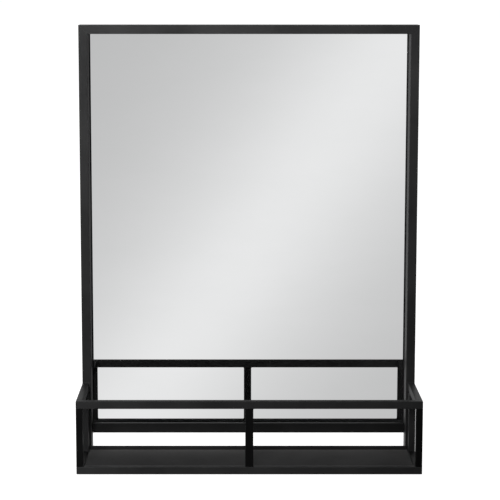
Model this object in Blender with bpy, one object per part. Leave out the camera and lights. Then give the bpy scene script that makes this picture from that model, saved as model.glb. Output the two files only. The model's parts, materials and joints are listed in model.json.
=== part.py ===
"""Wall mirror in a black steel frame, with an open shelf basket across its foot.

Units are metres and +Z is up. The object faces -Y and hangs on a wall at +Y. The origin is the middle of its
footprint, level with the underside of the basket. Left and right are as seen from the front.
"""

import math

import bmesh
import bpy
from mathutils import Matrix, Vector

# Overall size
WIDTH = 0.508
HEIGHT = 0.654
DEPTH = 0.159

# Space left between pieces that touch or are welded
GAP = 0.0003
MITRE_GAP = 0.0004

# Frame: an L-shaped section, with its long leg beside the glass and the backboard
FACE = 0.0135
LEG = 0.008
LIP_DEPTH = 0.027
POCKET_DEPTH = 0.012
FRAME_ROUNDING = 0.0008
CROSS_TOP = 0.0416
CROSS_HEIGHT = 0.0153
CROSS_LIP_DEPTH = 0.0045
LEDGE_HEIGHT = 0.009

# Glass and backboard
GLASS_THICKNESS = 0.004
BOARD_THICKNESS = 0.006
EDGE_PLAY = 0.001
GLASS_ARRIS = 0.0004
BOARD_ARRIS = 0.0003

# Basket
BASKET_HEIGHT = 0.110
BAR = 0.010
TOP_RAIL_HEIGHT = 0.0115
BOTTOM_RAIL_HEIGHT = 0.0115
CENTRE_POST_WIDTH = 0.0118
REAR_POST_DEPTH = 0.016
BAR_ROUNDING = 0.001
SIDE_BAR_HEIGHT = 0.0076
SHELF_TOP = 0.0068
SHELF_THICKNESS = 0.002
REAR_LIP_HEIGHT = 0.0122
REAR_LIP_THICKNESS = 0.003
SHEET_ROUNDING = 0.0005

# Ring hangers on the backboard
HANGER_X = 0.165
HANGER_Z = 0.560
STRAP_WIDTH = 0.012
STRAP_THICKNESS = 0.001
STRAP_LENGTH = 0.024
STRAP_SCREW_DROP = 0.0175
RING_WIRE = 0.0013
RING_CLEARANCE = 0.0003
RING_HALF_WIDTH = 0.0085
RING_ARM = 0.0035
RING_CORNER = 0.0016

# Clips that hold the backboard in the frame
CLIP_WIDTH = 0.012
CLIP_THICKNESS = 0.0012
CLIP_FOOT_START = 0.0008
CLIP_STEP_START = 0.0095
CLIP_STEP_END = 0.012
CLIP_TONGUE_END = 0.025
CLIP_SCREW_INSET = 0.0043
CLIP_HEIGHTS = {"lower": 0.200, "upper": 0.500}

# Screws and wall bumpers
SCREW_HEAD_RADIUS = 0.0026
SCREW_HEAD_HEIGHT = 0.0013
SCREW_SHANK_RADIUS = 0.0012
SCREW_HOLE_RADIUS = 0.0016
CLIP_SCREW_LENGTH = 0.007
HANGER_SCREW_LENGTH = 0.005
HOLE_EXTRA_DEPTH = 0.0006
BUMPER_THICKNESS = 0.004
BUMPER_RADIUS = 0.0037
BUMPER_EDGE = 0.0006
BUMPER_HEIGHTS = {"lower": 0.012, "upper": 0.633}

# Planes across the depth, from the wall forwards
WALL = DEPTH / 2
FRAME_BACK = WALL - BUMPER_THICKNESS
GLASS_FRONT = FRAME_BACK - POCKET_DEPTH
GLASS_BACK = GLASS_FRONT + GLASS_THICKNESS
BOARD_FRONT = GLASS_BACK + GAP
BOARD_BACK = BOARD_FRONT + BOARD_THICKNESS
FRAME_FRONT = GLASS_FRONT - LIP_DEPTH
BASKET_FRONT = -DEPTH / 2
BASKET_BACK = FRAME_FRONT - GAP
RAIL_BACK = BASKET_FRONT + BAR

HALF = WIDTH / 2
STILE_INNER = HALF - FACE
SHELF_REACH = HALF - BAR - GAP
LEDGE_BOTTOM = CROSS_TOP - CROSS_HEIGHT
LEDGE_TOP = LEDGE_BOTTOM + LEDGE_HEIGHT

SIDES = {"left": -1, "right": 1}


# Materials

def material(name, colour, roughness, metallic=0.0):
    mat = bpy.data.materials.new(name)
    mat.use_nodes = True
    shader = mat.node_tree.nodes["Principled BSDF"]
    shader.inputs["Base Color"].default_value = (*colour, 1.0)
    shader.inputs["Roughness"].default_value = roughness
    shader.inputs["Metallic"].default_value = metallic
    mat.diffuse_color = (*colour, 1.0)
    return mat


def make_materials():
    return {
        "frame": material("frame_black", (0.020, 0.020, 0.021), 0.42),
        "basket": material("basket_black", (0.016, 0.016, 0.017), 0.42),
        "shelf": material("shelf_black", (0.028, 0.028, 0.029), 0.38),
        "mirror": material("mirror_silver", (0.90, 0.91, 0.91), 0.02, 1.0),
        "board": material("board_brown", (0.30, 0.20, 0.12), 0.85),
        "zinc": material("zinc_plate", (0.62, 0.62, 0.60), 0.35, 1.0),
        "rubber": material("bumper_rubber", (0.05, 0.05, 0.05), 0.80),
    }


# Mesh helpers

def add_object(name, bm, mat, smooth=False):
    bmesh.ops.recalc_face_normals(bm, faces=bm.faces)
    mesh = bpy.data.meshes.new(name)
    bm.to_mesh(mesh)
    bm.free()
    if smooth:
        mesh.shade_smooth()
        mesh.set_sharp_from_angle(angle=math.radians(35))
    mesh.materials.append(mat)
    obj = bpy.data.objects.new(name, mesh)
    bpy.context.collection.objects.link(obj)
    return obj


def rounded_box(low, high, rounding=BAR_ROUNDING, segments=2):
    low, high = Vector(low), Vector(high)
    bm = bmesh.new()
    bmesh.ops.create_cube(bm, size=1.0)
    bmesh.ops.scale(bm, vec=high - low, verts=bm.verts)
    bmesh.ops.translate(bm, vec=(low + high) / 2, verts=bm.verts)
    if rounding:
        bmesh.ops.bevel(bm, geom=bm.edges[:], offset=rounding, segments=segments, profile=0.5, affect="EDGES")
    return bm


def arc(centre, radius, start_deg, end_deg, steps):
    angles = [math.radians(start_deg + (end_deg - start_deg) * i / steps) for i in range(steps + 1)]
    return [(centre[0] + radius * math.cos(a), centre[1] + radius * math.sin(a)) for a in angles]


def loft(loops, closed=False, caps=True):
    """Skins loops that have the same number of points. Caps close the ends of an open run."""
    bm = bmesh.new()
    rings = [[bm.verts.new(p) for p in loop] for loop in loops]
    pairs = list(zip(rings, rings[1:]))
    if closed:
        pairs.append((rings[-1], rings[0]))
    for a, b in pairs:
        for i in range(len(a)):
            j = (i + 1) % len(a)
            bm.faces.new((a[i], a[j], b[j], b[i]))
    if caps and not closed:
        bm.faces.new(rings[0])
        bm.faces.new(rings[-1])
    return bm


def turned(profile, segments=16):
    """Turns (radius, height) points about +Y. The first and last points are on the axis."""
    bm = bmesh.new()
    first = bm.verts.new((0, profile[0][1], 0))
    last = bm.verts.new((0, profile[-1][1], 0))
    turns = [2 * math.pi * i / segments for i in range(segments)]
    rings = [[bm.verts.new((r * math.cos(t), y, r * math.sin(t))) for t in turns] for r, y in profile[1:-1]]
    for i in range(segments):
        j = (i + 1) % segments
        bm.faces.new((first, rings[0][i], rings[0][j]))
        bm.faces.new((last, rings[-1][j], rings[-1][i]))
        for a, b in zip(rings, rings[1:]):
            bm.faces.new((a[i], b[i], b[j], a[j]))
    return bm


def cut_hole(target, name, centre, depth):
    """Cuts a round hole into target that opens towards the wall, with centre on its mouth."""
    bm = turned([(0, -depth), (SCREW_HOLE_RADIUS, -depth), (SCREW_HOLE_RADIUS, 0.004), (0, 0.004)])
    bmesh.ops.recalc_face_normals(bm, faces=bm.faces)
    mesh = bpy.data.meshes.new(name)
    bm.to_mesh(mesh)
    bm.free()
    cutter = bpy.data.objects.new(name, mesh)
    bpy.context.collection.objects.link(cutter)
    cutter.location = centre
    cutter.hide_render = True
    cutter.display_type = "WIRE"
    cut = target.modifiers.new(name, "BOOLEAN")
    cut.operation = "DIFFERENCE"
    cut.solver = "EXACT"
    cut.object = cutter


# Frame

def frame_section():
    """The frame's section as (inset from the outer edge, y) points."""
    r = FRAME_ROUNDING
    seat = GLASS_FRONT - GAP
    outer = arc((r, FRAME_FRONT + r), r, 180, 270, 3)
    inner = arc((FACE - r, FRAME_FRONT + r), r, 270, 360, 3)
    return [(0, FRAME_BACK)] + outer + inner + [(FACE, seat), (LEG, seat), (LEG, FRAME_BACK)]


def make_stile(side, mats):
    sign = SIDES[side]
    foot = [(sign * (HALF - a), y, 0) for a, y in frame_section()]
    head = [(sign * (HALF - a), y, HEIGHT - a - MITRE_GAP) for a, y in frame_section()]
    stile = add_object(f"frame_{side}_stile", loft([foot, head]), mats["frame"])
    for level, z in CLIP_HEIGHTS.items():
        centre = (sign * (HALF - CLIP_SCREW_INSET), FRAME_BACK, z)
        cut_hole(stile, f"hole_{side}_{level}", centre, CLIP_SCREW_LENGTH)


def make_top_rail(mats):
    ends = [[(sign * (HALF - a), y, HEIGHT - a) for a, y in frame_section()] for sign in (-1, 1)]
    rail = add_object("frame_top_rail", loft(ends), mats["frame"])
    cut_hole(rail, "hole_top", (0, FRAME_BACK, HEIGHT - CLIP_SCREW_INSET), CLIP_SCREW_LENGTH)


def make_cross_rail(mats):
    """The bar below the glass: a low lip in front and a ledge under the glass and the backboard."""
    r = FRAME_ROUNDING
    front = GLASS_FRONT - CROSS_LIP_DEPTH
    seat = GLASS_FRONT - GAP
    top = arc((front + r, CROSS_TOP - r), r, 180, 90, 3)
    bottom = arc((front + r, LEDGE_BOTTOM + r), r, 270, 180, 3)
    back = [(seat, CROSS_TOP), (seat, LEDGE_TOP), (FRAME_BACK, LEDGE_TOP), (FRAME_BACK, LEDGE_BOTTOM)]
    reach = STILE_INNER - GAP
    ends = [[(x, y, z) for y, z in bottom + top + back] for x in (-reach, reach)]
    rail = add_object("frame_cross_rail", loft(ends), mats["frame"])
    cut_hole(rail, "hole_bottom", (0, FRAME_BACK, LEDGE_BOTTOM + CLIP_SCREW_INSET), CLIP_SCREW_LENGTH)


# Mirror

def make_glass_and_board(mats):
    reach = HALF - LEG - EDGE_PLAY
    low, high = LEDGE_TOP + EDGE_PLAY / 2, HEIGHT - LEG - EDGE_PLAY
    glass = rounded_box((-reach, GLASS_FRONT, low), (reach, GLASS_BACK, high), GLASS_ARRIS, 1)
    add_object("mirror_glass", glass, mats["mirror"])
    board = rounded_box((-reach, BOARD_FRONT, low), (reach, BOARD_BACK, high), BOARD_ARRIS, 1)
    backboard = add_object("backboard", board, mats["board"])
    for side, sign in SIDES.items():
        centre = (sign * HANGER_X, BOARD_BACK, HANGER_Z - STRAP_SCREW_DROP)
        cut_hole(backboard, f"hole_board_{side}", centre, HANGER_SCREW_LENGTH - STRAP_THICKNESS + HOLE_EXTRA_DEPTH)


# Basket

def make_front_rails(mats):
    top_low = BASKET_HEIGHT - TOP_RAIL_HEIGHT
    top = rounded_box((-HALF, BASKET_FRONT, top_low), (HALF, RAIL_BACK, BASKET_HEIGHT))
    add_object("basket_front_top_rail", top, mats["basket"])
    bottom = rounded_box((-HALF, BASKET_FRONT, 0), (HALF, RAIL_BACK, BOTTOM_RAIL_HEIGHT))
    add_object("basket_front_bottom_rail", bottom, mats["basket"])


def make_front_posts(mats):
    low, high = BOTTOM_RAIL_HEIGHT + GAP, BASKET_HEIGHT - TOP_RAIL_HEIGHT - GAP
    spans = {
        "basket_left_front_post": (-HALF, -HALF + BAR),
        "basket_right_front_post": (HALF - BAR, HALF),
        "basket_centre_post": (-CENTRE_POST_WIDTH / 2, CENTRE_POST_WIDTH / 2),
    }
    for name, (x0, x1) in spans.items():
        post = rounded_box((x0, BASKET_FRONT, low), (x1, RAIL_BACK, high))
        add_object(name, post, mats["basket"])


def span_x(side, near, far):
    """Lowest and highest X of something that runs from near to far out from the middle on one side."""
    return (-far, -near) if side == "left" else (near, far)


def make_basket_side(side, mats):
    x0, x1 = span_x(side, HALF - BAR, HALF)
    rail_low = BASKET_HEIGHT - TOP_RAIL_HEIGHT
    rail = rounded_box((x0, RAIL_BACK + GAP, rail_low), (x1, BASKET_BACK, BASKET_HEIGHT))
    add_object(f"basket_{side}_top_rail", rail, mats["basket"])
    post = rounded_box((x0, BASKET_BACK - REAR_POST_DEPTH, SIDE_BAR_HEIGHT + GAP), (x1, BASKET_BACK, rail_low - GAP))
    add_object(f"basket_{side}_rear_post", post, mats["basket"])
    bar = rounded_box((x0, RAIL_BACK + GAP, 0), (x1, BASKET_BACK, SIDE_BAR_HEIGHT), SHEET_ROUNDING, 1)
    add_object(f"basket_{side}_bottom_bar", bar, mats["basket"])


def make_shelf(mats):
    lip_front = BASKET_BACK - REAR_LIP_THICKNESS
    low = (-SHELF_REACH, RAIL_BACK + GAP, SHELF_TOP - SHELF_THICKNESS)
    high = (SHELF_REACH, lip_front - GAP, SHELF_TOP)
    add_object("shelf_plate", rounded_box(low, high, SHEET_ROUNDING, 1), mats["shelf"])
    low, high = (-SHELF_REACH, lip_front, 0), (SHELF_REACH, BASKET_BACK, REAR_LIP_HEIGHT)
    lip = rounded_box(low, high, SHEET_ROUNDING, 1)
    add_object("shelf_rear_lip", lip, mats["basket"])


# Ring hangers

def strap_outline():
    """Side view of the strap as (y, z) from the ring's axis: a flat tail and a curl round the wire."""
    inner = RING_WIRE + RING_CLEARANCE
    outer = inner + STRAP_THICKNESS
    curl_end_deg = -105
    tail = [(-inner, -STRAP_LENGTH), (-outer, -STRAP_LENGTH)]
    return tail + arc((0, 0), outer, 180, curl_end_deg, 16) + arc((0, 0), inner, curl_end_deg, 180, 16)


def hanger_axis(side):
    outer = RING_WIRE + RING_CLEARANCE + STRAP_THICKNESS
    return Vector((SIDES[side] * HANGER_X, BOARD_BACK + GAP + outer, HANGER_Z))


def make_strap(side, mats):
    half = STRAP_WIDTH / 2
    bm = loft([[(x, y, z) for y, z in strap_outline()] for x in (-half, half)])
    strap = add_object(f"{side}_hanger_strap", bm, mats["zinc"])
    strap.location = hanger_axis(side)
    axis = hanger_axis(side)
    mouth = (axis.x, BOARD_BACK + GAP + STRAP_THICKNESS, HANGER_Z - STRAP_SCREW_DROP)
    cut_hole(strap, f"hole_strap_{side}", mouth, 2 * STRAP_THICKNESS)


def ring_route():
    """The ring's centre line as (x, z): a straight bar on the axis, two short arms and a half circle below."""
    w, c = RING_HALF_WIDTH, RING_CORNER
    right = arc((w - c, -c), c, 90, 0, 3)
    bow = arc((0, -RING_ARM), w, 0, -180, 16)
    left = arc((c - w, -c), c, 180, 90, 3)
    return right + bow + left


def make_ring(side, mats):
    route = [Vector((x, 0, z)) for x, z in ring_route()]
    count = len(route)
    loops = []
    for i, point in enumerate(route):
        along = (route[(i + 1) % count] - route[i - 1]).normalized()
        across = along.cross(Vector((0, 1, 0)))
        turns = [2 * math.pi * k / 8 for k in range(8)]
        loops.append([point + RING_WIRE * (math.cos(t) * across + math.sin(t) * Vector((0, 1, 0))) for t in turns])
    ring = add_object(f"{side}_hanger_ring", loft(loops, closed=True), mats["zinc"], smooth=True)
    ring.location = hanger_axis(side)


# Fasteners, clips and bumpers

def make_screw(name, centre, length, mats):
    """A pan-head screw whose head sits on centre and whose shank runs towards -Y."""
    dome = [(SCREW_HEAD_RADIUS * math.cos(a), SCREW_HEAD_HEIGHT * (0.4 + 0.6 * math.sin(a)))
            for a in (0.0, 0.5, 1.0)]
    profile = [(0, -length), (SCREW_SHANK_RADIUS * 0.4, -length), (SCREW_SHANK_RADIUS, -length * 0.75)]
    profile += [(SCREW_SHANK_RADIUS, 0), (SCREW_HEAD_RADIUS, 0)] + dome + [(0, SCREW_HEAD_HEIGHT)]
    screw = add_object(name, turned(profile), mats["zinc"], smooth=True)
    screw.location = centre


def make_hanger(side, mats):
    make_strap(side, mats)
    make_ring(side, mats)
    on_strap = BOARD_BACK + 2 * GAP + STRAP_THICKNESS
    head = (SIDES[side] * HANGER_X, on_strap, HANGER_Z - STRAP_SCREW_DROP)
    make_screw(f"{side}_hanger_screw", head, HANGER_SCREW_LENGTH, mats)


def clip_outline():
    """Side view of a clip as (inset from the frame's outer edge, y): a foot, a step down and a tongue."""
    foot = FRAME_BACK + GAP
    tongue = BOARD_BACK + GAP
    t = CLIP_THICKNESS
    lower = [(CLIP_FOOT_START, foot), (CLIP_STEP_START, foot), (CLIP_STEP_END, tongue), (CLIP_TONGUE_END, tongue)]
    return lower + [(inset, y + t) for inset, y in reversed(lower)]


def make_clip(name, outer_edge, turn_deg, mats):
    """A clip over the joint between frame and backboard; turn_deg about Y points its tongue inwards."""
    half = CLIP_WIDTH / 2
    bm = loft([[(inset, y, z) for inset, y in clip_outline()] for z in (-half, half)])
    clip = add_object(name, bm, mats["zinc"])
    turn = Matrix.Rotation(math.radians(turn_deg), 4, "Y")
    clip.location = outer_edge
    clip.rotation_euler = turn.to_euler()
    screw_line = Vector(outer_edge) + turn @ Vector((CLIP_SCREW_INSET, 0, 0))
    on_clip = FRAME_BACK + GAP + CLIP_THICKNESS
    cut_hole(clip, f"hole_{name}", (screw_line.x, on_clip, screw_line.z), 2 * CLIP_THICKNESS)
    length = CLIP_SCREW_LENGTH
    make_screw(f"{name}_screw", (screw_line.x, on_clip + GAP, screw_line.z), length, mats)


def make_clips(mats):
    for side, sign in SIDES.items():
        for level, z in CLIP_HEIGHTS.items():
            make_clip(f"clip_{side}_{level}", (sign * HALF, 0, z), 0 if sign < 0 else 180, mats)
    make_clip("clip_top", (0, 0, HEIGHT), 90, mats)
    make_clip("clip_bottom", (0, 0, LEDGE_BOTTOM), -90, mats)


def make_bumpers(mats):
    r, thick = BUMPER_RADIUS, BUMPER_THICKNESS
    profile = [(0, GAP), (r, GAP), (r, thick - BUMPER_EDGE), (r - BUMPER_EDGE, thick), (0, thick)]
    for side, sign in SIDES.items():
        for level, z in BUMPER_HEIGHTS.items():
            bumper = add_object(f"bumper_{side}_{level}", turned(profile), mats["rubber"], smooth=True)
            bumper.location = (sign * (HALF - LEG / 2), FRAME_BACK, z)


def main():
    for obj in list(bpy.data.objects):
        bpy.data.objects.remove(obj, do_unlink=True)
    mats = make_materials()
    make_top_rail(mats)
    make_cross_rail(mats)
    make_glass_and_board(mats)
    make_front_rails(mats)
    make_front_posts(mats)
    make_shelf(mats)
    for side in SIDES:
        make_stile(side, mats)
        make_basket_side(side, mats)
        make_hanger(side, mats)
    make_clips(mats)
    make_bumpers(mats)


main()
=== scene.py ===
"""Looks for the wall mirror with shelf basket: finished meshes, materials, studio light and camera.

Units are metres and +Z is up. The mirror faces -Y. Left and right are as seen from the front.
"""
import json
import math

import bmesh
import bpy
from mathutils import Matrix, Vector


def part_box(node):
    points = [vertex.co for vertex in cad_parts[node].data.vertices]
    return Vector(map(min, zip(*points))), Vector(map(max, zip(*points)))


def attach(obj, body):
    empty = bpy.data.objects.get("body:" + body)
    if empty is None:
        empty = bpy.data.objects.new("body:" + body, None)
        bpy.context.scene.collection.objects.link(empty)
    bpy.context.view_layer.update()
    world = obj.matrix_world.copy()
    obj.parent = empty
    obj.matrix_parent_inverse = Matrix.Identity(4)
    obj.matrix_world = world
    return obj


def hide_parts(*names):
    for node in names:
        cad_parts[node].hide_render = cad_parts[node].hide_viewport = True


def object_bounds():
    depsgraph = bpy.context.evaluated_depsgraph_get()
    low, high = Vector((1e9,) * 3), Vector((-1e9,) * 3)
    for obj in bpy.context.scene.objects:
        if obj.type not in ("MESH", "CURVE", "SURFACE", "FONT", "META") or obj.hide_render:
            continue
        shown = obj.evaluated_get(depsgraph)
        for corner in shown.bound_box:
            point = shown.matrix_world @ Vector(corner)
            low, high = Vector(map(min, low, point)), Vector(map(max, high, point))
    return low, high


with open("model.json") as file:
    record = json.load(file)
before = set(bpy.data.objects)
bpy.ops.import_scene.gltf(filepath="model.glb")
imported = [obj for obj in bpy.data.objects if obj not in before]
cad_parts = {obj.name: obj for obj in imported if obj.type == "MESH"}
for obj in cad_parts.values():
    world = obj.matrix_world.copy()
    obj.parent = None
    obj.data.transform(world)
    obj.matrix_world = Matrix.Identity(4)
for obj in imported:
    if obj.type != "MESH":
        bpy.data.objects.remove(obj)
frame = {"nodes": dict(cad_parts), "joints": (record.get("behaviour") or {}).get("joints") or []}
cad_low, cad_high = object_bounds()

BODY = "mirror"
SIDES = {"left": -1, "right": 1}

# Places that several pieces share, read from the frame
STILE_LOW, STILE_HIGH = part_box("frame_right_stile")
_, TOP_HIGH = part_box("frame_top_rail")
GLASS_LOW, GLASS_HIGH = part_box("mirror_glass")
BOARD_LOW, BOARD_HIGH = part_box("backboard")
CROSS_LOW, CROSS_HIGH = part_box("frame_cross_rail")
HALF = STILE_HIGH.x
HEIGHT = TOP_HIGH.z
FACE = STILE_HIGH.x - STILE_LOW.x
FRAME_FRONT, FRAME_BACK = STILE_LOW.y, STILE_HIGH.y
HINGE = {j["child"]: Vector(j["pos_m"]) for j in frame["joints"]}

# Finish sizes. TOUCH is what the frame stays clear of the glass by.
# SUPPORT is how far a supporting loop is from its corner.
TOUCH = 0.0001
SUPPORT = 0.0002
BAR_ROUNDING = 0.0011
FRAME_ROUNDING = 0.0012
BACK_ROUNDING = 0.0004
SHEET_ROUNDING = 0.0005
ARC_STEPS = 5
WELD = 0.0014
MITRE_LINE = 0.00012
FOOT_CHAMFER = 0.0004
GLASS_ARRIS = 0.0006
LEAST_CORNER = 0.12
FACES_AXIS = 0.98
SQUARE_END = (0, 0, 0, 0)

# Pressed metal
CLIP_THICKNESS = 0.0012
CLIP_BEND = 0.0011
CLIP_FOOT_CORNER, CLIP_TONGUE_CORNER = 0.0022, 0.0045
CLIP_STEP_START, CLIP_STEP_END = 0.36, 0.46
STRAP_THICKNESS = 0.001
STRAP_TAIL_CORNER, STRAP_CURL_CORNER = 0.0045, 0.0006
STRAP_CURL_DEG, STRAP_CURL_STEPS = 285, 40
RING_CORNER = 0.0017
SCREW_HEAD_HEIGHT = 0.0013
SCREW_TURN_DEG = 37
RECESS_CLEARANCE = 0.0004
BUMPER_CROWN = 0.0012
TURNED_SEGMENTS = 40

# Copies of one black powder coat, one for each tone: base colour, roughness, strength of the grain and gloss.
# Their base colours are set apart as painted light and shade: 'post' and 'cross' are darker, painted-shade
# copies,
# 'rail', 'low_rail' and 'shelf' are lighter, painted-light copies, and 'lip' is painted lighter as a painted
# highlight.
PAINTS = {
    "frame": ((0.0170, 0.0170, 0.0172), 0.42, 0.25, 0.25),
    "rail": ((0.0215, 0.0215, 0.0218), 0.42, 0.25, 0.15),
    "post": ((0.0055, 0.0055, 0.0056), 0.50, 0.35, 0.15),
    "lip": ((0.0260, 0.0260, 0.0263), 0.25, 0.20, 0.80),
    "low_rail": ((0.0280, 0.0280, 0.0284), 0.42, 0.25, 0.15),
    "cross": ((0.0140, 0.0140, 0.0142), 0.46, 0.30, 0.20),
    "shelf": ((0.0385, 0.0385, 0.0389), 0.60, 0.25, 0.10),
}
# Painted light on the shelf plate: a pale grey mixed in more towards the back, and the power that shapes its
# growth
PAINTED_BACK_LIGHT = (0.150, 0.149, 0.147)
PAINTED_BACK_LIGHT_CURVE = 4.0

# Brightness of the room in front of the object and of the wall behind it, and the stretch of a direction's Y
# over which one turns into the other
ROOM_GLOW = 0.05
WALL_GLOW = 0.7
WALL_START, WALL_END = -0.1, 0.5
BACKDROP_GLOW = 1.02
FLOOR_TONE = 0.5
FLOOR_DROP = 0.0006
# The sheen's screen, and how much of its light reaches other surfaces by way of the mirror:
# the share at X = 0, its gain per metre of X, and the most that it can lose
SCREEN_RADIUS = 2.3
SCREEN_LOW, SCREEN_HIGH = -6.0, 3.4
SCREEN_REACH_DEG, SCREEN_STEPS = 85, 48
SCREEN_SPILL = 0.50
SPILL_SLOPE = -0.50
MOST_LOST = -0.9
# The sheen's band: its slant, its middle line's distance from the origin, its half-width, and its brightness
BAND_SLANT = math.radians(36)
BAND_OFFSET = 0.055
BAND_HALF_WIDTH = 0.33
BAND_GLOW = 0.37
GROUND_GLOW = 0.48
SURROUND_GLOW = 0.28
SURROUND_START, SURROUND_END = 0.7, 1.4

KEY_SPREAD = math.radians(116)
CAMERA_PLACE = (-0.0260, -2.500, 0.7046)
CAMERA_TILT_DEG = 7.70
CAMERA_LENS = 122.2
CAMERA_SHIFT = (0.0369, -0.06)


# Node helpers

def new_material(name):
    mat = bpy.data.materials.new(name)
    mat.use_nodes = True
    nodes, links = mat.node_tree.nodes, mat.node_tree.links
    return mat, nodes, links, nodes["Principled BSDF"]


def surface_coords(nodes):
    return nodes.new("ShaderNodeTexCoord").outputs["Object"]


def noise(nodes, links, coords, scale, detail=3.0, roughness=0.55, stretch=(1, 1, 1)):
    mapping = nodes.new("ShaderNodeMapping")
    mapping.inputs["Scale"].default_value = stretch
    links.new(coords, mapping.inputs["Vector"])
    tex = nodes.new("ShaderNodeTexNoise")
    tex.inputs["Scale"].default_value = scale
    tex.inputs["Detail"].default_value = detail
    tex.inputs["Roughness"].default_value = roughness
    links.new(mapping.outputs["Vector"], tex.inputs["Vector"])
    return tex.outputs["Fac"]


def ramp(nodes, links, fac, low, high, start=0.35, end=0.65):
    """Maps fac between start and end onto low to high, which may be numbers or colours."""
    node = nodes.new("ShaderNodeValToRGB")
    node.color_ramp.elements[0].position = start
    node.color_ramp.elements[1].position = end
    for element, value in zip(node.color_ramp.elements, (low, high)):
        element.color = (value, value, value, 1) if isinstance(value, float) else (*value, 1)
    links.new(fac, node.inputs["Fac"])
    return node.outputs["Color"]


def mix_colour(nodes, links, fac, a, b):
    node = nodes.new("ShaderNodeMix")
    node.data_type = "RGBA"
    for socket, value in ((node.inputs[0], fac), (node.inputs[6], a), (node.inputs[7], b)):
        if isinstance(value, bpy.types.NodeSocket):
            links.new(value, socket)
        elif isinstance(value, tuple):
            socket.default_value = (*value, 1)
        else:
            socket.default_value = value
    return node.outputs[2]


def maths(nodes, links, operation, a, b):
    node = nodes.new("ShaderNodeMath")
    node.operation = operation
    for socket, value in zip(node.inputs, (a, b)):
        if isinstance(value, bpy.types.NodeSocket):
            links.new(value, socket)
        else:
            socket.default_value = value
    return node.outputs["Value"]


def bump(nodes, links, shader, heights):
    """Chains (height, distance, strength) bumps into the shader's normal."""
    normal = None
    for height, distance, strength in heights:
        node = nodes.new("ShaderNodeBump")
        node.inputs["Distance"].default_value = distance
        node.inputs["Strength"].default_value = strength
        links.new(height, node.inputs["Height"])
        if normal is not None:
            links.new(normal, node.inputs["Normal"])
        normal = node.outputs["Normal"]
    links.new(normal, shader.inputs["Normal"])


# Materials

def powder_coat(name, colour, roughness, grain, gloss, lit_back_span=None):
    """Satin black powder coat: fine orange peel, faint mottling, and thinner, shinier cover on the edges.

    The last argument is the (front, back) stretch of Y over which the coat is painted paler towards the back,
    as painted light.
    """
    mat, nodes, links, shader = new_material(name)
    coords = surface_coords(nodes)
    worn = nodes.new("ShaderNodeAttribute")
    worn.attribute_name = "edge"
    broad = noise(nodes, links, coords, 9.0, 4.0)
    peel = noise(nodes, links, coords, 900.0, 3.0)
    speck = noise(nodes, links, coords, 2600.0, 2.0)
    scuff = noise(nodes, links, coords, 40.0, 6.0, 0.7, (1, 1, 5))
    darker = tuple(c * 0.72 for c in colour)
    lighter = tuple(c * 1.3 for c in colour)
    base = ramp(nodes, links, broad, darker, lighter, 0.3, 0.7)
    base = mix_colour(nodes, links, ramp(nodes, links, speck, 0.0, 0.35, 0.55, 0.75), base, lighter)
    patchy = ramp(nodes, links, scuff, 0.1, 0.6, 0.45, 0.7)
    rubbed = maths(nodes, links, "MULTIPLY", worn.outputs["Fac"], patchy)
    base = mix_colour(nodes, links, rubbed, base, tuple(c * 2.2 + 0.006 for c in colour))
    # Painted light: the coat is mixed paler towards the back of the stretch.
    if lit_back_span:
        base = mix_colour(nodes, links, painted_back_light(nodes, links, coords, broad, *lit_back_span), base, PAINTED_BACK_LIGHT)
    links.new(base, shader.inputs["Base Color"])
    rough = maths(nodes, links, "MULTIPLY_ADD", broad, 0.10)
    rough.node.inputs[2].default_value = roughness - 0.05
    rough = maths(nodes, links, "SUBTRACT", rough, maths(nodes, links, "MULTIPLY", rubbed, 0.10))
    links.new(rough, shader.inputs["Roughness"])
    shader.inputs["Metallic"].default_value = 0.0
    shader.inputs["Specular IOR Level"].default_value = gloss
    bump(nodes, links, shader, [(peel, 0.0002, grain), (speck, 0.00008, grain)])
    return mat


def painted_back_light(nodes, links, coords, broad, front, back):
    """How much painted light the plate gets: none at the front, most at the back, and a little uneven."""
    split = nodes.new("ShaderNodeSeparateXYZ")
    links.new(coords, split.inputs["Vector"])
    way = nodes.new("ShaderNodeMapRange")
    way.inputs["From Min"].default_value, way.inputs["From Max"].default_value = front, back
    links.new(split.outputs["Y"], way.inputs["Value"])
    depth = maths(nodes, links, "POWER", way.outputs["Result"], PAINTED_BACK_LIGHT_CURVE)
    return maths(nodes, links, "MULTIPLY", depth, ramp(nodes, links, broad, 0.75, 1.0, 0.3, 0.7))


def mirror_silver():
    """Silvered glass with a trace of haze from wiping."""
    mat, nodes, links, shader = new_material("mirror_silver")
    coords = surface_coords(nodes)
    haze = noise(nodes, links, coords, 5.0, 6.0, 0.7, (1, 1, 2.5))
    tint = ramp(nodes, links, haze, (0.925, 0.932, 0.930), (0.945, 0.950, 0.950), 0.3, 0.7)
    links.new(tint, shader.inputs["Base Color"])
    links.new(ramp(nodes, links, haze, 0.0, 0.012, 0.35, 0.75), shader.inputs["Roughness"])
    shader.inputs["Metallic"].default_value = 1.0
    return mat


def glass_edge():
    """The pane's ground rim, green from the iron in float glass."""
    mat, nodes, links, shader = new_material("glass_edge")
    ground = noise(nodes, links, surface_coords(nodes), 1500.0, 2.0)
    links.new(ramp(nodes, links, ground, (0.05, 0.13, 0.10), (0.11, 0.22, 0.17)), shader.inputs["Base Color"])
    links.new(ramp(nodes, links, ground, 0.18, 0.38), shader.inputs["Roughness"])
    bump(nodes, links, shader, [(ground, 0.0001, 0.3)])
    return mat


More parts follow.
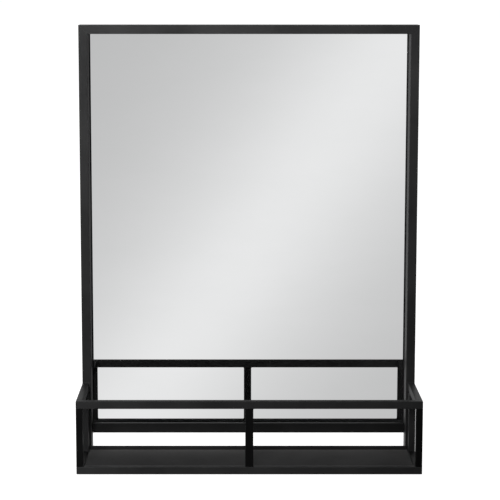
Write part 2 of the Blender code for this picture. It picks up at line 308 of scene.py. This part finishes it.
def hardboard():
    """Brown pressed-fibre board: mottled, with short lighter fibres lying upright and darker ones across."""
    mat, nodes, links, shader = new_material("backboard_fibre")
    coords = surface_coords(nodes)
    mottle = noise(nodes, links, coords, 22.0, 5.0, 0.6)
    along = noise(nodes, links, coords, 420.0, 4.0, 0.65, (1, 1, 0.14))
    across = noise(nodes, links, coords, 420.0, 4.0, 0.65, (0.14, 1, 1))
    dust = noise(nodes, links, coords, 1400.0, 2.0)
    base = ramp(nodes, links, mottle, (0.17, 0.092, 0.046), (0.27, 0.160, 0.085), 0.3, 0.7)
    light_fibres = ramp(nodes, links, along, 0.0, 0.55, 0.52, 0.72)
    base = mix_colour(nodes, links, light_fibres, base, (0.40, 0.26, 0.150))
    dark_fibres = ramp(nodes, links, across, 0.0, 0.55, 0.54, 0.74)
    base = mix_colour(nodes, links, dark_fibres, base, (0.10, 0.052, 0.026))
    links.new(base, shader.inputs["Base Color"])
    links.new(ramp(nodes, links, mottle, 0.62, 0.82), shader.inputs["Roughness"])
    bump(nodes, links, shader, [(along, 0.0002, 0.35), (across, 0.0002, 0.35), (dust, 0.0001, 0.25)])
    return mat


def zinc_plate():
    """Bright zinc over pressed steel, with grains of the plating and fine rubbing marks."""
    mat, nodes, links, shader = new_material("zinc_plating")
    coords = surface_coords(nodes)
    cloud = noise(nodes, links, coords, 160.0, 4.0)
    rubbed = noise(nodes, links, coords, 900.0, 3.0, 0.6, (0.15, 1, 1))
    cells = nodes.new("ShaderNodeTexVoronoi")
    cells.inputs["Scale"].default_value = 650.0
    links.new(coords, cells.inputs["Vector"])
    base = ramp(nodes, links, cloud, (0.47, 0.48, 0.47), (0.66, 0.66, 0.63), 0.3, 0.7)
    grains = ramp(nodes, links, cells.outputs["Color"], 0.0, 0.30, 0.2, 0.9)
    base = mix_colour(nodes, links, grains, base, (0.72, 0.71, 0.66))
    links.new(base, shader.inputs["Base Color"])
    links.new(ramp(nodes, links, cloud, 0.24, 0.42), shader.inputs["Roughness"])
    shader.inputs["Metallic"].default_value = 1.0
    bump(nodes, links, shader, [(rubbed, 0.00006, 0.30), (cloud, 0.0001, 0.15)])
    return mat


def rubber():
    mat, nodes, links, shader = new_material("bumper_rubber")
    coords = surface_coords(nodes)
    mottle = noise(nodes, links, coords, 300.0, 4.0)
    skin = noise(nodes, links, coords, 2400.0, 2.0)
    tint = ramp(nodes, links, mottle, (0.022, 0.022, 0.023), (0.045, 0.044, 0.043))
    links.new(tint, shader.inputs["Base Color"])
    links.new(ramp(nodes, links, mottle, 0.62, 0.82), shader.inputs["Roughness"])
    bump(nodes, links, shader, [(skin, 0.0001, 0.25)])
    return mat


def make_materials():
    shelf_low, shelf_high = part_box("shelf_plate")
    mats = {}
    for name, paint in PAINTS.items():
        # The shelf's coat gets painted light towards its back.
        lit_back_span = (shelf_low.y, shelf_high.y) if name == "shelf" else None
        mats[name] = powder_coat(f"{name}_powder_coat", *paint, lit_back_span)
    mats["mirror"] = mirror_silver()
    mats["glass_edge"] = glass_edge()
    mats["board"] = hardboard()
    mats["zinc"] = zinc_plate()
    mats["rubber"] = rubber()
    return mats


# Outlines: closed lists of (a, b, edge), where edge is 1 in the middle of a rounded corner

def rounded_outline(corners, steps=ARC_STEPS):
    """Rounds each (a, b, radius) corner. A point just outside each arc keeps the flats flat when shaded."""
    points = []
    for i, (a, b, radius) in enumerate(corners):
        here = Vector((a, b))
        if not radius:
            points.append((a, b, 0.0))
            continue
        back = (Vector(corners[i - 1][:2]) - here).normalized()
        on = (Vector(corners[(i + 1) % len(corners)][:2]) - here).normalized()
        half = back.angle(on) / 2
        reach = radius / math.tan(half)
        centre = here + (back + on).normalized() * radius / math.sin(half)
        start, end = here + back * reach - centre, here + on * reach - centre
        turn = math.atan2(start.x * end.y - start.y * end.x, start.dot(end))
        points.append((*(here + back * (reach + SUPPORT)), 0.0))
        for k in range(steps + 1):
            spoke = start.copy()
            spoke.rotate(Matrix.Rotation(turn * k / steps, 2))
            points.append((*(centre + spoke), math.sin(math.pi * k / steps)))
        points.append((*(here + on * (reach + SUPPORT)), 0.0))
    return points


def rectangle(a0, a1, b0, b1, radius, steps=ARC_STEPS):
    return rounded_outline([(a0, b0, radius), (a1, b0, radius), (a1, b1, radius), (a0, b1, radius)], steps)


# Mesh helpers

def skin(loops, closed=False):
    """A mesh over loops of (point, edge) pairs with the same count, capped at both ends unless closed."""
    bm = bmesh.new()
    layer = bm.verts.layers.float.new("edge")
    rings = []
    for loop in loops:
        ring = []
        for point, edge in loop:
            vert = bm.verts.new(point)
            vert[layer] = edge
            ring.append(vert)
        rings.append(ring)
    pairs = list(zip(rings, rings[1:])) + ([(rings[-1], rings[0])] if closed else [])
    for one, two in pairs:
        for i in range(len(one)):
            j = (i + 1) % len(one)
            bm.faces.new((one[i], one[j], two[j], two[i]))
    if not closed:
        bm.faces.new(rings[0])
        bm.faces.new(rings[-1])
    return bm


def finished(name, bm, mat, sharp_deg=32):
    """Turns bm into a smooth-shaded object with sharp edges above sharp_deg."""
    bmesh.ops.recalc_face_normals(bm, faces=bm.faces)
    mesh = bpy.data.meshes.new(name)
    bm.to_mesh(mesh)
    bm.free()
    mesh.shade_smooth()
    mesh.set_sharp_from_angle(angle=math.radians(sharp_deg))
    mesh.materials.append(mat)
    obj = bpy.data.objects.new(name, mesh)
    bpy.context.scene.collection.objects.link(obj)
    return obj


def stand_in(obj, node, body=BODY):
    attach(obj, body)
    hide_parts(node)
    return obj


def quarter(radius, t):
    """How far a quarter round of that radius stands back from its flat, t along from its start."""
    if t >= radius:
        return 0.0
    return radius - math.sqrt(radius ** 2 - (radius - t) ** 2)


def end_stations(finish):
    """(distance from the end, growth on the four sides) for a finish of four signed radii.

    A positive radius rounds that side over, a negative one flares it into a weld fillet, and 0 leaves it
    square.
    """
    reach = max(abs(r) for r in finish)
    if not reach:
        return [(0.0, SQUARE_END), (SUPPORT, SQUARE_END)]
    marks = [reach * (1 - math.cos(math.pi / 2 * k / ARC_STEPS)) for k in range(ARC_STEPS + 1)]
    stations = []
    for t in marks:
        stations.append((t, tuple(-math.copysign(quarter(abs(r), t), r) for r in finish)))
    if min(finish) > 0:
        inner = tuple(-r - SUPPORT for r in finish)
        stations.insert(0, (0.0, inner))
    stations.append((reach + SUPPORT, SQUARE_END))
    return stations


def bar(name, low, high, axis, mat, radius=BAR_ROUNDING, start=None, end=None):
    """A bar along axis (0, 1 or 2) with rounded long edges. start and end are finishes for its two ends."""
    across = [k for k in range(3) if k != axis]
    rounded = (radius,) * 4
    head = end_stations(start or rounded)
    tail = end_stations(end or rounded)
    places = [(low[axis] + t, grow) for t, grow in head]
    places += [(high[axis] - t, grow) for t, grow in reversed(tail)]
    loops = []
    for place, grow in places:
        a0, a1 = low[across[0]] - grow[0], high[across[0]] + grow[1]
        b0, b1 = low[across[1]] - grow[2], high[across[1]] + grow[3]
        inset = max(0.0, -min(grow))
        corner = max(radius - inset, LEAST_CORNER * radius)
        turn = math.sin(math.pi * min(inset / radius, 1.0)) if inset else 0.0
        loop = []
        for a, b, edge in rectangle(a0, a1, b0, b1, corner):
            point = Vector((0, 0, 0))
            point[axis], point[across[0]], point[across[1]] = place, a, b
            loop.append((point, max(edge, turn)))
        loops.append(loop)
    return finished(name, skin(loops), mat)


# Frame

def frame_outline():
    """The L-shaped section as (inset from the outer edge, y)."""
    seat = GLASS_LOW.y - TOUCH
    leg = HALF - BOARD_HIGH.x - SUPPORT
    r, back = FRAME_ROUNDING, BACK_ROUNDING
    return rounded_outline([
        (0, FRAME_BACK, back), (0, FRAME_FRONT, r), (FACE, FRAME_FRONT, r), (FACE, seat, back),
        (leg, seat, 0), (leg, FRAME_BACK, back),
    ])


def make_stile(side, mats):
    sign = SIDES[side]
    outline = frame_outline()
    middle = Vector((FACE / 2, (FRAME_FRONT + FRAME_BACK) / 2))
    loops = []
    for z, shrink in ((0.0, FOOT_CHAMFER), (FOOT_CHAMFER, 0.0), (FOOT_CHAMFER + SUPPORT, 0.0)):
        ring = []
        for inset, y, edge in outline:
            pull = middle - Vector((inset, y))
            scale = Vector((shrink / (FACE / 2), shrink / ((FRAME_BACK - FRAME_FRONT) / 2)))
            ring.append((Vector((sign * (HALF - inset - pull.x * scale.x), y + pull.y * scale.y, z)), edge))
        loops.append(ring)
    for drop in (SUPPORT, 0.0):
        head = [(Vector((sign * (HALF - a), y, HEIGHT - a - MITRE_LINE - drop)), e) for a, y, e in outline]
        loops.append(head)
    node = f"frame_{side}_stile"
    stand_in(finished(f"{node}_finish", skin(loops), mats["frame"]), node)


def make_top_rail(mats):
    outline = frame_outline()
    loops = []
    for sign, inward in ((-1, 0.0), (-1, SUPPORT), (1, SUPPORT), (1, 0.0)):
        loops.append([(Vector((sign * (HALF - a - inward), y, HEIGHT - a)), e) for a, y, e in outline])
    rail = finished("frame_top_rail_finish", skin(loops), mats["frame"])
    stand_in(rail, "frame_top_rail")


def make_cross_rail(mats):
    """The bar below the glass, with a ledge under the pane and the board. It has a darker copy of the paint,
    painted shade, and its upward faces are glossier and painted lighter, a painted highlight.
    """
    seat = GLASS_LOW.y - TOUCH
    ledge = GLASS_LOW.z - SUPPORT
    r, back = FRAME_ROUNDING, BACK_ROUNDING
    outline = rounded_outline([
        (CROSS_LOW.y, CROSS_LOW.z, r), (CROSS_LOW.y, CROSS_HIGH.z, r), (seat, CROSS_HIGH.z, back),
        (seat, ledge, 0), (FRAME_BACK, ledge, back), (FRAME_BACK, CROSS_LOW.z, back),
    ])
    reach = STILE_LOW.x
    stations = (-reach, SUPPORT - reach, reach - SUPPORT, reach)
    loops = [[(Vector((x, y, z)), e) for y, z, e in outline] for x in stations]
    rail = finished("frame_cross_rail_finish", skin(loops), mats["cross"])
    # The upward faces take the lighter, glossier 'lip' copy of the paint: a painted highlight.
    rail.data.materials.append(mats["lip"])
    for polygon in rail.data.polygons:
        if polygon.normal.z > FACES_AXIS:
            polygon.material_index = 1
    stand_in(rail, "frame_cross_rail")


# Mirror

def make_glass(mats):
    glass = bar("mirror_pane", GLASS_LOW, GLASS_HIGH, 2, mats["mirror"], GLASS_ARRIS)
    glass.data.materials.append(mats["glass_edge"])
    for polygon in glass.data.polygons:
        if abs(polygon.normal.y) < FACES_AXIS:
            polygon.material_index = 1
    stand_in(glass, "mirror_glass")


def make_board(mats):
    board = bar("backboard_finish", BOARD_LOW, BOARD_HIGH, 2, mats["board"], BACK_ROUNDING)
    stand_in(board, "backboard")


# Basket

def grown(box, **to):
    """A node's box with some faces moved, such as x1=0.2 for its high X face."""
    low, high = box[0].copy(), box[1].copy()
    for key, value in to.items():
        (low if key[1] == "0" else high)["xyz".index(key[0])] = value
    return low, high


def inner_first(side, inner, outer):
    """Orders a pair of X-side finishes as (low, high) for that side."""
    return (outer, inner) if side == "left" else (inner, outer)


def make_front(mats):
    rail_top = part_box("basket_front_top_rail")
    rail_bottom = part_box("basket_front_bottom_rail")
    # The rails take lighter copies of the paint, the bottom rail the lightest: painted light.
    for node, box, mat in (("basket_front_top_rail", rail_top, mats["rail"]),
                           ("basket_front_bottom_rail", rail_bottom, mats["low_rail"])):
        stand_in(bar(f"{node}_finish", *box, 0, mat), node)
    span = {"z0": rail_bottom[1].z, "z1": rail_top[0].z}
    # The posts take the darker 'post' copy of the paint: painted shade.
    centre = bar("basket_centre_post_finish", *grown(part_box("basket_centre_post"), **span), 2, mats["post"],
                 start=(-WELD, -WELD, 0, 0), end=(-WELD, -WELD, 0, 0))
    stand_in(centre, "basket_centre_post")
    for side in SIDES:
        node = f"basket_{side}_front_post"
        weld = (*inner_first(side, -WELD, 0), 0, 0)
        post = bar(f"{node}_finish", *grown(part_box(node), **span), 2, mats["post"], start=weld, end=weld)
        stand_in(post, node)


def make_basket_side(side, mats):
    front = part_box("basket_front_top_rail")[1].y
    inner_weld = inner_first(side, -WELD, 0)
    node = f"basket_{side}_top_rail"
    rail_box = grown(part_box(node), y0=front, y1=FRAME_FRONT)
    # The side rail takes the lighter 'rail' copy of the paint: painted light.
    rail = bar(f"{node}_finish", *rail_box, 1, mats["rail"],
               start=(*inner_weld, 0, 0), end=(*inner_weld, 0, -WELD))
    stand_in(rail, node)
    node = f"basket_{side}_bottom_bar"
    flat_box = grown(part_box(node), y0=front, y1=FRAME_FRONT)
    # The flat bottom bar takes the darker 'post' copy of the paint: painted shade.
    flat = bar(f"{node}_finish", *flat_box, 1, mats["post"], SHEET_ROUNDING, SQUARE_END, SQUARE_END)
    stand_in(flat, node)
    node = f"basket_{side}_rear_post"
    post_box = grown(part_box(node), y1=FRAME_FRONT, z0=flat_box[1].z, z1=rail_box[0].z)
    weld = (*inner_weld, -WELD, 0)
    # The rear post takes the lighter 'rail' copy of the paint: painted light.
    post = bar(f"{node}_finish", *post_box, 2, mats["rail"], start=weld, end=weld)
    stand_in(post, node)


def make_shelf(mats):
    # The plate takes the lightest copy of the paint, painted light; the rear lip takes the frame's.
    plate = bar("shelf_plate_finish", *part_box("shelf_plate"), 0, mats["shelf"], SHEET_ROUNDING)
    stand_in(plate, "shelf_plate")
    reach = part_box("basket_right_bottom_bar")[0].x
    lip_box = grown(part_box("shelf_rear_lip"), x0=-reach, x1=reach)
    lip = bar("shelf_rear_lip_finish", *lip_box, 0, mats["frame"], SHEET_ROUNDING, SQUARE_END, SQUARE_END)
    stand_in(lip, "shelf_rear_lip")


# Bent metal strips: clips and hanger straps

def bent_path(corners, radius, steps=8):
    """An open path through corners, each inner corner turned with that radius."""
    points = [Vector(corners[0])]
    for before, here, after in zip(corners, corners[1:], corners[2:]):
        here = Vector(here)
        back, on = (Vector(before) - here).normalized(), (Vector(after) - here).normalized()
        half = back.angle(on) / 2
        centre = here + (back + on).normalized() * radius / math.sin(half)
        start = here + back * radius / math.tan(half) - centre
        end = here + on * radius / math.tan(half) - centre
        turn = math.atan2(start.x * end.y - start.y * end.x, start.dot(end))
        for k in range(steps + 1):
            spoke = start.copy()
            spoke.rotate(Matrix.Rotation(turn * k / steps, 2))
            points.append(centre + spoke)
    points.append(Vector(corners[-1]))
    return points


def along_path(points, s):
    """The point and direction at distance s along points."""
    for a, b in zip(points, points[1:]):
        length = (b - a).length
        if s <= length or b is points[-1]:
            return a + (b - a) * (s / length), (b - a) / length
        s -= length


def strip_loops(points, width, thickness, first_corner, last_corner):
    """Loops of (across, in-plane point, edge) for a strip along points, with rounded corners at both ends."""
    total = sum((b - a).length for a, b in zip(points, points[1:]))
    turns = [1 - math.cos(math.pi / 2 * k / 8) for k in range(9)]
    places = {first_corner * t for t in turns} | {total - last_corner * t for t in turns}
    walked = 0.0
    for a, b in zip(points, points[1:]):
        walked += (b - a).length
        if first_corner < walked < total - last_corner:
            places.add(walked)
    loops = []
    for s in sorted(places):
        at, along = along_path(points, s)
        side = Vector((-along.y, along.x))
        half = width / 2 - quarter(first_corner, s) - quarter(last_corner, total - s)
        outline = rectangle(-half, half, -thickness / 2, thickness / 2, thickness * 0.25, 3)
        loops.append([(across, at + side * off, edge) for across, off, edge in outline])
    return loops


def make_clip(node, inward, mats):
    """A bent plate from the frame's back down onto the backboard. inward is the way its tongue points."""
    low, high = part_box(node)
    axis = 0 if inward.x else 2
    length = high[axis] - low[axis]
    width = (high - low)[2 - axis]
    middle = (low + high) / 2
    foot, tongue = high.y - CLIP_THICKNESS / 2, low.y + CLIP_THICKNESS / 2
    step_start, step_end = CLIP_STEP_START * length, CLIP_STEP_END * length
    path = bent_path([(0, foot), (step_start, foot), (step_end, tongue), (length, tongue)], CLIP_BEND)
    outer = low[axis] if inward[axis] > 0 else high[axis]
    loops = []
    for ring in strip_loops(path, width, CLIP_THICKNESS, CLIP_FOOT_CORNER, CLIP_TONGUE_CORNER):
        loop = []
        for across, (reach, y), edge in ring:
            point = Vector((0, y, 0))
            point[axis] = outer + inward[axis] * reach
            point[2 - axis] = middle[2 - axis] + across
            loop.append((point, edge))
        loops.append(loop)
    stand_in(finished(f"{node}_finish", skin(loops), mats["zinc"]), node)


def make_strap(side, mats):
    """The hanger's strap: a flat tail that curls over the ring's bar."""
    node = f"{side}_hanger_strap"
    low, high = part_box(node)
    hinge = HINGE[f"{side}_ring"]
    radius = high.z - hinge.z - STRAP_THICKNESS / 2
    curl = [math.radians(180 - STRAP_CURL_DEG * k / STRAP_CURL_STEPS) for k in range(STRAP_CURL_STEPS + 1)]
    path = [Vector((-radius, low.z - hinge.z))]
    path += [Vector((radius * math.cos(a), radius * math.sin(a))) for a in curl]
    loops = []
    for ring in strip_loops(path, high.x - low.x, STRAP_THICKNESS, STRAP_TAIL_CORNER, STRAP_CURL_CORNER):
        loops.append([(hinge + Vector((across, y, z)), edge) for across, (y, z), edge in ring])
    stand_in(finished(f"{node}_finish", skin(loops), mats["zinc"]), node)


def make_ring(side, mats):
    """The hanger's D-shaped ring: a straight bar through the strap's curl and a round bow."""
    node = f"{side}_hanger_ring"
    low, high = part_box(node)
    hinge = HINGE[f"{side}_ring"]
    wire = (high.y - low.y) / 2
    half = (high.x - low.x) / 2 - wire
    bow_z = low.z + wire + half - hinge.z
    corner = RING_CORNER
    arcs = (
        (half - corner, -corner, corner, 90, 0, 8),
        (0, bow_z, half, 0, -180, 48),
        (corner - half, -corner, corner, 180, 90, 8),
    )
    route = []
    for centre_x, centre_z, radius, first, last, count in arcs:
        for k in range(count + 1):
            a = math.radians(first + (last - first) * k / count)
            route.append(Vector((centre_x + radius * math.cos(a), 0, centre_z + radius * math.sin(a))))
    turns = [2 * math.pi * k / 16 for k in range(16)]
    loops = []
    for i, point in enumerate(route):
        along = (route[(i + 1) % len(route)] - route[i - 1]).normalized()
        across = along.cross(Vector((0, 1, 0)))
        spokes = [across * math.cos(t) + Vector((0, math.sin(t), 0)) for t in turns]
        loops.append([(hinge + point + wire * spoke, 0.0) for spoke in spokes])
    ring = finished(f"{node}_finish", skin(loops, closed=True), mats["zinc"], 60)
    stand_in(ring, node, f"{side}_ring")


# Screws and bumpers

def turned(name, profile, mat, sharp_deg=32):
    """Turns (radius, y) points about the Y axis. The first and last points are on it."""
    turns = [2 * math.pi * i / TURNED_SEGMENTS for i in range(TURNED_SEGMENTS)]
    loops = [[(Vector((r * math.cos(t), y, r * math.sin(t))), 0.0) for t in turns] for r, y in profile[1:-1]]
    return finished(name, skin(loops), mat, sharp_deg)


def cross_recess(depth, width, arm, top):
    """A tapered cross that cuts a screw's driver recess, its mouth just above top."""
    bm = bmesh.new()
    for turn in (0, math.pi / 2):
        made = bmesh.ops.create_cube(bm, size=1.0)["verts"]
        for v in made:
            deep = v.co.y < 0
            taper = 0.55 if deep else 1.0
            level = top - depth if deep else top + RECESS_CLEARANCE
            v.co = Vector((v.co.x * 2 * arm * taper, level, v.co.z * width * taper))
        bmesh.ops.rotate(bm, cent=(0, 0, 0), matrix=Matrix.Rotation(turn, 3, "Y"), verts=made)
    bmesh.ops.recalc_face_normals(bm, faces=bm.faces)
    mesh = bpy.data.meshes.new("recess")
    bm.to_mesh(mesh)
    bm.free()
    cutter = bpy.data.objects.new("recess", mesh)
    bpy.context.scene.collection.objects.link(cutter)
    return cutter


def screw_mesh(length, head_radius, head_height, mat):
    """A pan-head screw along Y, its head sitting on y = 0 and its point at y = -length."""
    shank = 0.46 * head_radius
    dome = []
    for k in range(9):
        a = math.pi / 2 * k / 9
        dome.append((head_radius * math.cos(a) ** 0.55, head_height * (0.35 + 0.65 * math.sin(a))))
    point = [(0, -length), (shank * 0.15, -length), (shank, -length * 0.72), (shank, 0)]
    rim = [(head_radius * 0.96, 0), (head_radius, head_height * 0.08)]
    crown = [(head_radius * 0.12, head_height), (0, head_height)]
    profile = point + rim + dome + crown
    screw = turned("screw", profile, mat, sharp_deg=40)
    cutter = cross_recess(0.62 * head_height, 0.24 * head_radius, 0.58 * head_radius, head_height)
    cut = screw.modifiers.new("recess", "BOOLEAN")
    cut.operation, cut.solver, cut.object = "DIFFERENCE", "EXACT", cutter
    cut.use_self = True
    mesh = bpy.data.meshes.new_from_object(screw.evaluated_get(bpy.context.evaluated_depsgraph_get()))
    mesh.set_sharp_from_angle(angle=math.radians(30))
    for helper in (screw, cutter):
        bpy.data.objects.remove(helper, do_unlink=True)
    return mesh


def make_screws(mats):
    nodes = [n for n in sorted(frame["nodes"]) if n.endswith("_screw")]
    meshes = {}
    for count, node in enumerate(nodes):
        low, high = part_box(node)
        kind = round(high.y - low.y, 4)
        if kind not in meshes:
            length = high.y - low.y - SCREW_HEAD_HEIGHT
            meshes[kind] = screw_mesh(length, (high.x - low.x) / 2, SCREW_HEAD_HEIGHT, mats["zinc"])
        screw = bpy.data.objects.new(f"{node}_finish", meshes[kind])
        bpy.context.scene.collection.objects.link(screw)
        screw.location = ((low.x + high.x) / 2, high.y - SCREW_HEAD_HEIGHT, (low.z + high.z) / 2)
        screw.rotation_euler = (0, math.radians(SCREW_TURN_DEG * count), 0)
        stand_in(screw, node)


def make_bumpers(mats):
    mesh = None
    for node in [n for n in sorted(frame["nodes"]) if n.startswith("bumper_")]:
        low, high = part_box(node)
        radius, tall = (high.x - low.x) / 2, high.y - low.y
        if mesh is None:
            crown = BUMPER_CROWN
            profile = [(0, 0), (radius * 0.9, 0), (radius, tall * 0.1), (radius * 0.98, tall - crown)]
            for k in range(1, 8):
                a = math.pi / 2 * k / 8
                profile.append((radius * 0.98 - crown * (1 - math.cos(a)), tall - crown * (1 - math.sin(a))))
            profile += [(radius * 0.98 - crown * 1.1, tall), (0, tall)]
            first = turned("bumper", profile, mats["rubber"])
            mesh = first.data
            bpy.data.objects.remove(first, do_unlink=True)
        bumper = bpy.data.objects.new(f"{node}_finish", mesh)
        bpy.context.scene.collection.objects.link(bumper)
        bumper.location = ((low.x + high.x) / 2, low.y, (low.z + high.z) / 2)
        stand_in(bumper, node)


# Studio

def emission_only(name, colour):
    """A material that only glows. Its emission strength is 1."""
    mat = bpy.data.materials.new(name)
    mat.use_nodes = True
    nodes, links = mat.node_tree.nodes, mat.node_tree.links
    nodes.clear()
    glow = nodes.new("ShaderNodeEmission")
    glow.inputs["Color"].default_value = (*colour, 1)
    glow.inputs["Strength"].default_value = 1.0
    out = nodes.new("ShaderNodeOutputMaterial")
    links.new(glow.outputs["Emission"], out.inputs["Surface"])
    return mat, nodes, links, glow, out


def make_floor():
    """A pale floor that lights itself as a lit white sweep does, so that shadows on it stay faint."""
    mat, nodes, links, glow, out = emission_only("pale_floor", (1, 1, 1))
    matte = nodes.new("ShaderNodeBsdfDiffuse")
    matte.inputs["Color"].default_value = (FLOOR_TONE, FLOOR_TONE, FLOOR_TONE, 1)
    both = nodes.new("ShaderNodeAddShader")
    links.new(glow.outputs["Emission"], both.inputs[0])
    links.new(matte.outputs["BSDF"], both.inputs[1])
    links.new(both.outputs["Shader"], out.inputs["Surface"])
    bm = bmesh.new()
    bmesh.ops.create_grid(bm, x_segments=8, y_segments=8, size=40)
    floor = finished("floor", bm, mat)
    floor.location = (0, 0, cad_low.z - FLOOR_DROP)
    floor.visible_glossy = False
    floor.visible_diffuse = False


def sheen_tone(nodes, links, away):
    """Brightness by distance from the band's middle: a soft peak, an even ground, then a bright surround."""
    spread = maths(nodes, links, "POWER", maths(nodes, links, "DIVIDE", away, BAND_HALF_WIDTH), 2.0)
    band = maths(nodes, links, "DIVIDE", BAND_GLOW, maths(nodes, links, "ADD", spread, 1.0))
    surround = nodes.new("ShaderNodeMapRange")
    surround.interpolation_type = "SMOOTHSTEP"
    surround.inputs["From Min"].default_value = SURROUND_START
    surround.inputs["From Max"].default_value = SURROUND_END
    surround.inputs["To Min"].default_value = 0.0
    surround.inputs["To Max"].default_value = SURROUND_GLOW
    links.new(away, surround.inputs["Value"])
    ground = maths(nodes, links, "ADD", band, GROUND_GLOW)
    return maths(nodes, links, "ADD", ground, surround.outputs["Result"])


def make_sheen_screen():
    """A wide curved screen before the mirror, for the mirror only, with one soft slanting band of light."""
    mat, nodes, links, glow, _ = emission_only("sheen_screen", (1, 1, 1.005))
    coords = nodes.new("ShaderNodeTexCoord").outputs["Object"]
    split = nodes.new("ShaderNodeSeparateXYZ")
    links.new(coords, split.inputs["Vector"])
    across = maths(nodes, links, "MULTIPLY", split.outputs["X"], math.cos(BAND_SLANT))
    down = maths(nodes, links, "MULTIPLY", split.outputs["Z"], -math.sin(BAND_SLANT))
    offset = maths(nodes, links, "SUBTRACT", maths(nodes, links, "ADD", across, down), BAND_OFFSET)
    tone = sheen_tone(nodes, links, maths(nodes, links, "ABSOLUTE", offset, 0.0))
    depth = nodes.new("ShaderNodeLightPath").outputs["Ray Depth"]
    bounced = maths(nodes, links, "GREATER_THAN", depth, 1.5)
    share = maths(nodes, links, "MULTIPLY_ADD", split.outputs["X"], SPILL_SLOPE)
    share.node.inputs[2].default_value = SCREEN_SPILL - 1.0
    spill = maths(nodes, links, "MULTIPLY_ADD", bounced, maths(nodes, links, "MAXIMUM", share, MOST_LOST))
    spill.node.inputs[2].default_value = 1.0
    links.new(maths(nodes, links, "MULTIPLY", tone, spill), glow.inputs["Strength"])
    bm = bmesh.new()
    rows = []
    for z in (SCREEN_LOW, SCREEN_HIGH):
        row = []
        for k in range(SCREEN_STEPS + 1):
            a = math.radians(2 * SCREEN_REACH_DEG * k / SCREEN_STEPS - SCREEN_REACH_DEG)
            row.append(bm.verts.new((SCREEN_RADIUS * math.sin(a), -SCREEN_RADIUS * math.cos(a), z)))
        rows.append(row)
    for i in range(SCREEN_STEPS):
        bm.faces.new((rows[0][i], rows[0][i + 1], rows[1][i + 1], rows[1][i]))
    screen = finished("sheen_screen", bm, mat)
    screen.visible_camera = False
    screen.visible_diffuse = False
    screen.visible_shadow = False
    only_mirror = bpy.data.collections.new("sees_sheen_screen")
    only_mirror.objects.link(bpy.data.objects["mirror_pane"])
    screen.light_linking.receiver_collection = only_mirror


def soft_light(name, place, target, width, height, watts):
    """A rectangular lamp at place that faces target."""
    data = bpy.data.lights.new(name, "AREA")
    data.shape = "RECTANGLE"
    data.size, data.size_y, data.energy = width, height, watts
    light = bpy.data.objects.new(name, data)
    bpy.context.scene.collection.objects.link(light)
    light.location = place
    light.rotation_euler = (Vector(target) - Vector(place)).to_track_quat("-Z", "Y").to_euler()
    light.visible_camera = False
    return light


def make_lights():
    centre = (cad_low + cad_high) / 2
    key = soft_light("key", (-0.4, -1.8, 0.8), (-0.68, 0, 1.6), 0.7, 0.7, 57)
    key.data.spread = KEY_SPREAD
    key.visible_glossy = False
    soft_light("left_strip", (-1.9, -0.6, 0.9), centre, 0.8, 1.4, 8)
    soft_light("top_fill", (0.3, -0.5, 2.2), centre, 1.6, 1.0, 2)


def make_world():
    """White to the camera. To everything else a dim room in front and a bright wall behind the object."""
    world = bpy.data.worlds.new("studio")
    world.use_nodes = True
    bpy.context.scene.world = world
    nodes, links = world.node_tree.nodes, world.node_tree.links
    room = nodes["Background"]
    split = nodes.new("ShaderNodeSeparateXYZ")
    links.new(nodes.new("ShaderNodeTexCoord").outputs["Generated"], split.inputs["Vector"])
    wall = nodes.new("ShaderNodeMapRange")
    wall.interpolation_type = "SMOOTHSTEP"
    wall.inputs["From Min"].default_value, wall.inputs["From Max"].default_value = WALL_START, WALL_END
    wall.inputs["To Min"].default_value, wall.inputs["To Max"].default_value = ROOM_GLOW, WALL_GLOW
    links.new(split.outputs["Y"], wall.inputs["Value"])
    links.new(wall.outputs["Result"], room.inputs["Strength"])
    room.inputs["Color"].default_value = (1, 1, 1, 1)
    white = nodes.new("ShaderNodeBackground")
    white.inputs["Color"].default_value = (1, 1, 1, 1)
    white.inputs["Strength"].default_value = BACKDROP_GLOW
    seen = nodes.new("ShaderNodeLightPath")
    mix = nodes.new("ShaderNodeMixShader")
    links.new(seen.outputs["Is Camera Ray"], mix.inputs["Fac"])
    links.new(room.outputs["Background"], mix.inputs[1])
    links.new(white.outputs["Background"], mix.inputs[2])
    links.new(mix.outputs["Shader"], nodes["World Output"].inputs["Surface"])


def make_camera():
    data = bpy.data.cameras.new("camera")
    data.sensor_width = 36.0
    data.lens = CAMERA_LENS
    data.shift_x, data.shift_y = CAMERA_SHIFT
    data.dof.use_dof = False
    camera = bpy.data.objects.new("camera", data)
    bpy.context.scene.collection.objects.link(camera)
    camera.location = CAMERA_PLACE
    camera.rotation_euler = (math.radians(90 - CAMERA_TILT_DEG), 0, 0)
    bpy.context.scene.camera = camera


def set_tones():
    view = bpy.context.scene.view_settings
    view.view_transform = "Standard"
    view.look = "None"


def main():
    mats = make_materials()
    make_camera()
    make_top_rail(mats)
    make_cross_rail(mats)
    make_glass(mats)
    make_board(mats)
    make_front(mats)
    make_shelf(mats)
    for side in SIDES:
        make_stile(side, mats)
        make_basket_side(side, mats)
        make_strap(side, mats)
        make_ring(side, mats)
        for level in ("lower", "upper"):
            make_clip(f"clip_{side}_{level}", Vector((-SIDES[side], 0, 0)), mats)
    make_clip("clip_top", Vector((0, 0, -1)), mats)
    make_clip("clip_bottom", Vector((0, 0, 1)), mats)
    make_screws(mats)
    make_bumpers(mats)
    make_floor()
    make_sheen_screen()
    make_lights()
    make_world()
    set_tones()


main()
